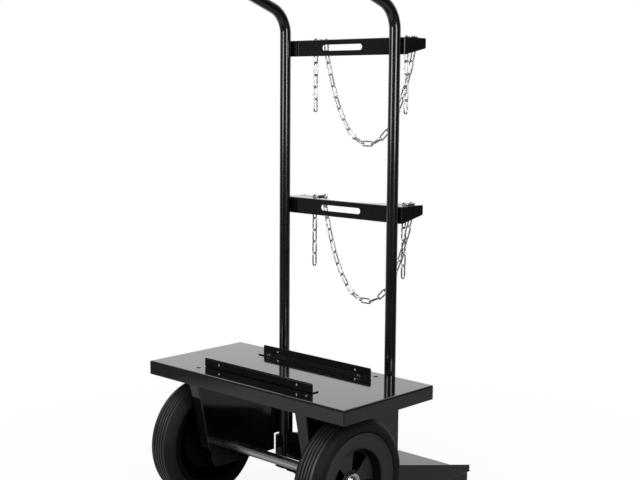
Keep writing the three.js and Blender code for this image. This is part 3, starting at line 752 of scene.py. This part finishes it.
def skid_sheet():
    outer, top = PLATE - 5, TOE_LOW - GAP
    inner = outer - 24
    length, end = 240, TOE_REACH - 8
    channel = rounded([
        (inner, top),
        (inner, 0, FOLD),
        (outer, 0, FOLD),
        (outer, top),
        (outer - SHEET, top),
        (outer - SHEET, SHEET, FOLD - SHEET),
        (inner + SHEET, SHEET, FOLD - SHEET),
        (inner + SHEET, top),
    ], 0, 8)
    return prism(channel, "y", end - length, end)


def bar_sheet(top):
    front, rear, low = TUBE_BACK, TUBE_BACK + 74, top - 37
    edge, half = TUBE_BACK + 62.6, PLATE
    web_slot, slot_down, slot_width = 60.5, 18.5, 13.5
    cylinder, key_width = 118, 6

    def formed(inset, corner, depth, reach):
        side = rounded([
            (front + inset, low - depth),
            (rear + reach, low - depth),
            (rear + reach, top - inset),
            (front + inset, top - inset, corner),
        ], 0, 8)
        plan = rounded([
            (-half + inset, front + inset, corner),
            (half - inset, front + inset, corner),
            (half - inset, rear + reach),
            (-half + inset, rear + reach),
        ], 0, 8)
        return worked(
            prism(side, "x", -half - PAST, half + PAST),
            keep(prism(plan, "z", low - 2 * PAST, top + PAST)),
        )

    wing = rounded([
        (front - PAST, low - PAST),
        (front + FOLD, low - PAST),
        (front + FOLD, low),
        (rear, top - 22, 3),
        (rear, top, 3),
        (front - PAST, top),
    ], 0, 8)
    past_edge = (half - SHEET, rear + PAST, top + PAST)
    long_slot = slot(-web_slot, web_slot, top - slot_down, slot_width)
    cut_out = circle(0, front + SHEET + 2.5 + cylinder, cylinder, 240)
    steps = [
        less(formed(SHEET, FOLD - SHEET, PAST, PAST)),
        keep(prism(wing, "x", -half - PAST, half + PAST)),
        less(block((SHEET - half, edge, top - 2 * SHEET), past_edge)),
        less(prism(long_slot, "y", front - PAST, front + PAST)),
        less(prism(cut_out, "z", top - PAST, top + PAST)),
    ]
    for way in (-1, 1):
        near, far = sorted((way * (half - SHEET), way * (half - SHEET - 0.6)))
        relief = block((near, front + FOLD, top - 2 * SHEET), (far, rear + PAST, top + PAST))
        steps.append(less(relief))
        near, far = sorted((way * 107, way * 163))
        key = slot(near, far, KEY_SLOT, key_width)
        steps.append(less(prism(key, "z", top - PAST, top + PAST)))
    return worked(formed(0, FOLD, 0, 0), *steps)


def sheet_metal(coat):
    placed(platform_sheet(), "pressed_platform", coat, "platform_tray")
    placed(angle_bracket(-DEPTH + 50.5, 1), "front_angle", coat, "machine_bracket_front")
    placed(angle_bracket(-47, -1), "rear_angle", coat, "machine_bracket_rear")
    placed(side_sheet(), "folded_side_right", coat, "side_plate_right")
    placed(side_sheet(), "folded_side_left", coat, "side_plate_left", mirror=True)
    placed(toe_sheet(), "folded_toe_tray", coat, "toe_tray")
    placed(skid_sheet(), "channel_skid_right", coat, "skid_right")
    placed(skid_sheet(), "channel_skid_left", coat, "skid_left", mirror=True)
    for level, rise in (("upper", 732.5), ("lower", 367.5)):
        placed(bar_sheet(DECK + rise), f"formed_bar_{level}", coat, f"cradle_bar_{level}")


# Tube frame

TUBE_R = 0.01265
TUBE_WALL = 0.002
TUBE_SIDES = 48
TUBE_FOOT = 0.030 + 0.0025 + CLEAR
BEND_R = 0.062
BEND_STEPS = 20
KNEE = TOP + 0.790
LEAN = math.radians(19.5)
HANDLE_REACH = 0.215
UPRIGHT_X = 0.165
UPRIGHT_Y = SHIFT + 0.0052 + 0.01275


def tube_frame(coat):
    end_y = UPRIGHT_Y - HANDLE_REACH * math.cos(LEAN)
    end_z = KNEE + HANDLE_REACH * math.sin(LEAN)
    half = [
        Vector((UPRIGHT_X, UPRIGHT_Y, TUBE_FOOT)),
        Vector((UPRIGHT_X, UPRIGHT_Y, KNEE)),
        Vector((UPRIGHT_X, end_y, end_z)),
    ]
    corners = half + [Vector((-p.x, p.y, p.z)) for p in reversed(half)]
    stations = with_sides(routed(corners, BEND_R, BEND_STEPS), X)
    count = len(stations)
    outside = swept(stations, [TUBE_R] * count, TUBE_SIDES)
    inner_points, inner_faces = swept(stations, [TUBE_R - TUBE_WALL] * count, TUBE_SIDES)
    inside = (inner_points, [tuple(reversed(face)) for face in inner_faces])
    points, faces = joined_lists([outside, inside])
    base = len(outside[0])
    last = (count - 1) * TUBE_SIDES
    for k in range(TUBE_SIDES):
        m = (k + 1) % TUBE_SIDES
        faces.append((k, base + k, base + m, m))
        faces.append((last + k, last + m, base + last + m, base + last + k))
    mesh = bpy.data.meshes.new("bent_tube")
    mesh.from_pydata([tuple(p) for p in points], [], faces)
    new_piece("bent_tube", mesh, "trolley", coat, ["tube_frame"])


# Chain. The wires of two links bite into one another, so that a strand is one solid, and a
# strand hangs clear of its seat by the play.

WIRE_R = 0.0018
PITCH = 0.028
LINK_HALF = 0.01525
LINK_W = 0.014
BITE = 0.0011
PLAY = 0.0007
STRAND_LINKS = 19
TAIL_LINKS = 5
SINK = 2 * WIRE_R - BITE
FIRST_JOINT = 2 * WIRE_R + PLAY - WIRE_R + BITE / 2
BAR_FRONT = SHIFT + 0.0052 + 0.0255 + CLEAR
STRAND_Y = BAR_FRONT + 0.0626 + CLEAR + WIRE_R
FLAT_LINK_Y = STRAND_Y - LINK_HALF + SINK
SLOT_Y = FLAT_LINK_Y - LINK_HALF + SINK
FLAT_RISE = CLEAR + WIRE_R
HUNG_RISE = FLAT_RISE + SINK - LINK_HALF
SWING_RISE = HUNG_RISE - LINK_HALF
BARS = {"upper": TOP + 0.7325, "lower": TOP + 0.3675}
# Along the bar: the link that lies flat, the one in the slot and the one over the edge
PLACES = {"left": (-0.1116, -0.1166, -0.1066), "right": (0.1605, 0.1555, 0.1555)}

LINK_SIDES = 12
LINK_TURN_STEPS = 12
# Along a link's straight side: the share of its length and the swelling of the weld
WELD = ((0.62, 1), (0.55, 1.1), (0.5, 1.16), (0.45, 1.1), (0.38, 1))


def link(middle, along, face):
    """One welded chain link. Its weld swells the middle of one side a little."""
    radius = LINK_W / 2 - WIRE_R
    straight = LINK_HALF - radius
    across = face.cross(along).normalized()
    flat = []
    for end, start_angle in ((1, -math.pi / 2), (-1, math.pi / 2)):
        for k in range(LINK_TURN_STEPS + 1):
            angle = start_angle + math.pi * k / LINK_TURN_STEPS
            at = end * straight + radius * math.cos(angle)
            flat.append((at, radius * math.sin(angle), WIRE_R))
        for share, swell in WELD:
            at = end * straight * (2 * share - 1)
            flat.append((at, end * radius, WIRE_R * (swell if end > 0 else 1)))
    stations = []
    radii = []
    count = len(flat)
    for i, (a, b, r) in enumerate(flat):
        before = Vector(flat[i - 1][:2])
        after = Vector(flat[(i + 1) % count][:2])
        heading = (after - before).normalized()
        tangent = along * heading.x + across * heading.y
        stations.append((middle + along * a + across * b, tangent, face))
        radii.append(r)
    return swept(stations, radii, LINK_SIDES, closed=True)


def linked(joints):
    """Links in turn on edge and facing along Y."""
    parts = []
    for i, (a, b) in enumerate(zip(joints, joints[1:])):
        along = (b - a).normalized()
        parts.append(link((a + b) / 2, along, along.cross(Y) if i % 2 == 0 else Y))
    return parts


def hanging(left, right, count):
    """Joints of a strand that hangs from left to right, found by halving its steepness."""
    def angles(steepness):
        return [math.atan(steepness * (k - (count - 1) / 2)) for k in range(count)]

    low, high = 0, 8
    for _ in range(60):
        middle = (low + high) / 2
        if sum(PITCH * math.cos(a) for a in angles(middle)) > right - left:
            low = middle
        else:
            high = middle
    joints = [Vector((left, 0, FIRST_JOINT))]
    for a in angles(high):
        joints.append(joints[-1] + Vector((PITCH * math.cos(a), 0, PITCH * math.sin(a))))
    return joints


def chains(zinc):
    def put(name, parts, body, stands_for):
        mesh = mesh_of(name, *joined_lists(parts))
        new_piece(name, mesh, body, zinc, [stands_for], 60)

    for level, top in BARS.items():
        at = Vector((0, STRAND_Y, top + SWING_RISE))
        curve = hanging(PLACES["left"][2], PLACES["right"][2], STRAND_LINKS)
        strand = linked([at + joint for joint in curve])
        put(f"chain_{level}_links", strand, f"chain_{level}", f"chain_main_{level}")
        for side, (flat, in_slot, edge) in PLACES.items():
            end = f"{level}_{side}"
            seat = [
                link(Vector((flat, FLAT_LINK_Y, top + FLAT_RISE)), Y, Z),
                link(Vector((in_slot, SLOT_Y, top + HUNG_RISE)), Z, Y),
                link(Vector((edge, STRAND_Y, top + HUNG_RISE)), Z, Y),
            ]
            put(f"seat_links_{end}", seat, "trolley", f"chain_seat_{end}")
            at = Vector((in_slot, SLOT_Y, top + SWING_RISE))
            drops = [FIRST_JOINT - k * PITCH for k in range(TAIL_LINKS + 1)]
            tail = linked([at + Z * drop for drop in drops])
            put(f"tail_links_{end}", tail, f"tail_{end}", f"chain_tail_{end}")


# Wheels. Profiles are of (distance along X from the wheel's middle, radius).

TYRE_STEPS, RIM_STEPS, CAP_STEPS = 160, 128, 72

TYRE_R = 0.1385
TYRE_HALF = 0.036
SHOULDER_R = 0.022
SHOULDER_STEPS = 12
BEAD = [(0.027, 0.103), (0.027, 0.1093), (0.0295, 0.1098), (0.0325, 0.1122), (0.0352, 0.1150)]
GROOVES = (-0.012, -0.004, 0.004, 0.012)
# Half a groove, from its side to its middle, as (distance from the middle, depth)
GROOVE = [(0.0036, 0), (0.0018, 0), (0.0010, 0.0036)]
GROOVE_ROUNDING = 0.0012


def tyre_profile():
    edge = list(BEAD)
    for k in range(SHOULDER_STEPS + 1):
        angle = math.pi / 2 * k / SHOULDER_STEPS
        edge.append((
            TYRE_HALF - SHOULDER_R + SHOULDER_R * math.cos(angle),
            TYRE_R - SHOULDER_R + SHOULDER_R * math.sin(angle),
        ))
    tread = []
    for middle in GROOVES:
        groove = [(middle - a, TYRE_R - depth) for a, depth in GROOVE]
        groove += [(middle + a, TYRE_R - depth) for a, depth in reversed(GROOVE)]
        tread += rounded(groove, GROOVE_ROUNDING, closed=False)
    return [(-a, r) for a, r in edge] + tread + edge[::-1]


# From the hub's inner end over the web, the barrel with its tyre seat, the outer face with a
# fine ridge, and back to the hub: (distance along X, radius, rounding)
RIM_BORE = 0.01538
RIM_OUTER = 0.109
RIM_CORNERS = [
    (-0.037, RIM_BORE, 0),
    (-0.037, 0.023, 0.001),
    (-0.011, 0.023, 0.002),
    (-0.011, 0.072, 0.003),
    (0.0228, 0.0795, 0.002),
    (0.0228, 0.0987, 0.002),
    (-0.0308, 0.0987, 0.0008),
    (-0.0308, RIM_OUTER, 0.0012),
    (-0.0273, RIM_OUTER, 0.0005),
    (-0.0273, 0.1027, 0.0005),
    (0.0273, 0.1027, 0.0005),
    (0.0273, RIM_OUTER, 0.0005),
    (0.0308, RIM_OUTER, 0.0012),
    (0.0302, 0.1045, 0.0008),
    (0.0290, 0.1035, 0.0008),
    (0.0268, 0.0775, 0.0008),
    (0.0280, 0.0768, 0.0006),
    (0.0280, 0.0752, 0.0008),
    (0.0262, 0.0745, 0.001),
    (0.007, 0.068, 0.003),
    (0.007, 0.0242, 0.0012),
    (0.008, 0.023, 0.0008),
    (0.008, RIM_BORE, 0),
]

WINDOWS = 4
WINDOW_FIRST = 63
WINDOW_REACH = math.radians(20.25)
# Radius, steps and way round of a window's two arcs
WINDOW_ARCS = ((0.0665, 16, 1), (0.027, 8, -1))
WINDOW_CORNER = 0.005
WINDOW_LOW, WINDOW_HIGH = -0.008, 0.03


def window_cutter(middle, way):
    """A rounded sector that sinks one window into the rim."""
    outline = []
    for radius, steps, turn in WINDOW_ARCS:
        for k in range(steps + 1):
            angle = middle - turn * WINDOW_REACH + turn * 2 * WINDOW_REACH * k / steps
            rounding = WINDOW_CORNER if k in (0, steps) else 0
            outline.append((radius * math.cos(angle), radius * math.sin(angle), rounding))
    return prism_mesh(
        rounded(outline, 0, 5), WINDOW_LOW, WINDOW_HIGH,
        lambda y, z, along: Vector((way * along, y, z)),
    )


HUB_END = 0.008
BUSH_FLANGE = 0.002
WASHER = 0.0015
CAP_X = HUB_END + BUSH_FLANGE + CLEAR + CLEAR + WASHER + CLEAR
CAP_END = CAP_X + 0.004
CAP_R = 0.0145
CAP_BORE = 0.0113
CAP_RISE = 0.005
DOME_STEPS = 15
ON_AXIS = 0.00001


def cap_profile():
    """A push-on cap: a bore for the axle, a rolled brim and a low dome."""
    profile = rounded([
        (CAP_END + CLEAR, ON_AXIS),
        (CAP_END + CLEAR, CAP_BORE),
        (CAP_X, CAP_BORE),
        (CAP_X, 0.021, 0.0005),
        (CAP_X + 0.002, 0.0208, 0.0014),
        (CAP_X + 0.0014, 0.0156, 0.0005),
        (CAP_X + 0.0014, CAP_R, 0.0004),
        (CAP_END, CAP_R),
    ], 0, 6, closed=False)
    for k in range(1, DOME_STEPS):
        angle = math.pi / 2 * k / DOME_STEPS
        profile.append((CAP_END + CAP_RISE * math.sin(angle), CAP_R * math.cos(angle)))
    profile.append((CAP_END + CAP_RISE, ON_AXIS))
    return profile


def wheels(rubber, plastic, zinc):
    for side, way in (("right", 1), ("left", -1)):
        centre = AXLE + Vector((way * WHEEL_X, 0, 0))
        body = f"wheel_{side}"

        turned = revolved(tyre_profile(), TYRE_STEPS, centre, way)
        mesh = mesh_of(f"grooved_tyre_{side}", *turned)
        new_piece(mesh.name, mesh, body, rubber, [f"tyre_{side}"], 50)

        turned = revolved(rounded(RIM_CORNERS, 0), RIM_STEPS, Vector((0, 0, 0)), way)
        angles = [math.radians(WINDOW_FIRST + 360 / WINDOWS * k) for k in range(WINDOWS)]
        if way < 0:
            angles = [math.pi - angle for angle in angles]
        cuts = [less(window_cutter(angle, way)) for angle in angles]
        mesh = worked(mesh_of("rim_blank", *turned), *cuts, ease=0.0007)
        mesh.transform(Matrix.Translation(centre))
        mesh.name = f"moulded_rim_{side}"
        new_piece(mesh.name, mesh, body, plastic, [f"rim_{side}"], 40)

        turned = revolved(cap_profile(), CAP_STEPS, centre, way)
        mesh = mesh_of(f"domed_cap_{side}", *turned)
        new_piece(mesh.name, mesh, "trolley", zinc, [f"hub_cap_{side}"], 50)


# Floor, backdrop and light. A reflection sees white behind the trolley and a dim studio
# elsewhere. A part of the studio is (direction, start and end of its edge as cosines from
# there, level before and after the edge).

STUDIO = (
    ((-0.68, 0.73, 0), 0.2, 0.7, 0, 1),
    ((-1, 0, 0), -0.7, 0.7, 0.04, 0.15),
    ((0.68, -0.73, 0), 0.55, 0.75, 0, 0.09),
)
NEAR_GLOW = (
    ((-0.68, -0.73, 0), -0.7, 0.7, 0.33, 0.52),
)
STRIP_GLOW = (
    ((0.954, -0.299, 0), 0.982, 0.994, 0, 1.2),
    ((-0.132, -0.991, 0), 0.982, 0.994, 0, 1.2),
)
BACKGROUND_LIGHT = 0.32
FLOOR_R = 14
FLOOR_SEGMENTS = 96
FLOOR_COLOUR = (0.9, 0.9, 0.9)
FLOOR_MIRRORED = (0.35, 0.35, 0.35)

# Name, place, aim, width, height and power
LAMPS = (
    ("key", (0.5, -0.6, 2.9), (0, 0, 0.3), 1.6, 1.6, 30),
    ("strip_right", (2.11, -0.66, 1.5), (0, 0, 1.45), 0.72, 1.6, 31),
    ("strip_left", (-0.29, -2.18, 1.5), (0, 0, 1.45), 0.72, 1.6, 31),
)


def studio_level(t, parts):
    """The highest level of these parts, for a point of the floor or a direction."""
    way = t.vector("NORMALIZE", t.place)
    levels = []
    for direction, low, high, level_low, level_high in parts:
        dot = t.vector("DOT_PRODUCT", way, direction)
        levels.append(t.span(dot, low, high, level_low, level_high))
    highest = levels[0]
    for level in levels[1:]:
        highest = t.maths("MAXIMUM", highest, level)
    return highest


def seen_straight(t, path):
    """1 for the camera, also through glass."""
    return t.maths("MAXIMUM", path.outputs["Is Camera Ray"], path.outputs["Is Transmission Ray"])


def floor_material():
    """White in the picture, faintly shaded under the trolley, and the studio in reflections."""
    t = Tree("floor_white")
    path = t.add("ShaderNodeLightPath")
    glossy = path.outputs["Is Glossy Ray"]
    distance = t.vector("LENGTH", t.place)
    t.set(
        Base_Color=t.mix(glossy, FLOOR_COLOUR, FLOOR_MIRRORED),
        Roughness=1.0,
        Specular_IOR_Level=0.0,
    )
    in_picture = t.span(distance, 0.4, 1.3, 0.92, 1)
    in_picture = t.maths("MULTIPLY", seen_straight(t, path), in_picture)
    mirrored = t.maths("MULTIPLY", glossy, t.span(distance, 0.5, 1.0, 0, 1))
    amount = t.maths("MAXIMUM", in_picture, mirrored)

    near = t.span(distance, 1.35, 1.65, 1, 0)
    near = t.maths("MULTIPLY", studio_level(t, NEAR_GLOW), near)
    strips = t.span(distance, 4.5, 10, 0, 1)
    strips = t.maths("MULTIPLY", studio_level(t, STRIP_GLOW), strips)
    studio = t.maths("MAXIMUM", studio_level(t, STUDIO), near)
    studio = t.maths("MAXIMUM", studio, strips)
    strength = t.maths("MAXIMUM", path.outputs["Is Camera Ray"], studio)

    white = t.add("ShaderNodeEmission")
    white.inputs["Color"].default_value = (1, 1, 1, 1)
    t.links.new(strength, white.inputs["Strength"])
    both = t.add("ShaderNodeMixShader")
    t.links.new(amount, both.inputs["Fac"])
    t.links.new(t.shader.outputs["BSDF"], both.inputs[1])
    t.links.new(white.outputs["Emission"], both.inputs[2])
    t.links.new(both.outputs["Shader"], t.nodes["Material Output"].inputs["Surface"])
    return t.material


def background_strength(t):
    """1 in the picture, the studio in reflections, and a lamp's level for all other light."""
    path = t.add("ShaderNodeLightPath")
    glossy = path.outputs["Is Glossy Ray"]
    others = t.blend(glossy, BACKGROUND_LIGHT, studio_level(t, STUDIO))
    return t.blend(seen_straight(t, path), others, 1)


def stage():
    bm = bmesh.new()
    bmesh.ops.create_circle(bm, cap_ends=True, segments=FLOOR_SEGMENTS, radius=FLOOR_R)
    mesh = bpy.data.meshes.new("floor")
    bm.to_mesh(mesh)
    bm.free()
    mesh.materials.append(floor_material())
    floor = bpy.data.objects.new("floor", mesh)
    scene.collection.objects.link(floor)

    world = bpy.data.worlds.new("studio")
    scene.world = world
    t = Tree(world)
    background = t.nodes["Background"]
    background.inputs["Color"].default_value = (1, 1, 1, 1)
    t.links.new(background_strength(t), background.inputs["Strength"])


def softbox(name, place, aim, width, height, power):
    data = bpy.data.lights.new(name, "AREA")
    data.shape = "RECTANGLE"
    data.size = width
    data.size_y = height
    data.energy = power
    lamp = bpy.data.objects.new(name, data)
    lamp.location = place
    towards = Vector(aim) - Vector(place)
    lamp.rotation_euler = towards.to_track_quat("-Z", "Y").to_euler()
    scene.collection.objects.link(lamp)


set_camera()
coat = coat_material("powder_coat", rounding=0.0012)
rubber = rubber_material()
plastic = plastic_material()
zinc = zinc_material("zinc_plate", 40, (0.16, 0.34), (0.15, 1, 1))
chain_zinc = zinc_material("chain_plate", 120, (0.14, 0.3), tone=0.8)
dull_zinc = zinc_material("fastener_plate", 60, (0.32, 0.48), tone=0.2)
by_slot = {
    "coat": coat,
    "rubber": rubber,
    "plastic": plastic,
    "nylon": nylon_material(),
    "zinc": zinc,
    "chain_zinc": chain_zinc,
}
for entry in frame["record"]["subparts"]:
    mesh = nodes[entry["node"]].data
    mesh.materials.clear()
    fastener = entry["node"].startswith(("bracket_screw", "bracket_nut"))
    mesh.materials.append(dull_zinc if fastener else by_slot[entry["material_slot"]])

sheet_metal(coat)
tube_frame(coat_material("powder_coat_tube", (0.15, 0.19)))
chains(chain_zinc)
wheels(rubber, plastic, zinc)
stage()
for lamp in LAMPS:
    softbox(*lamp)

scene.view_settings.view_transform = "Standard"
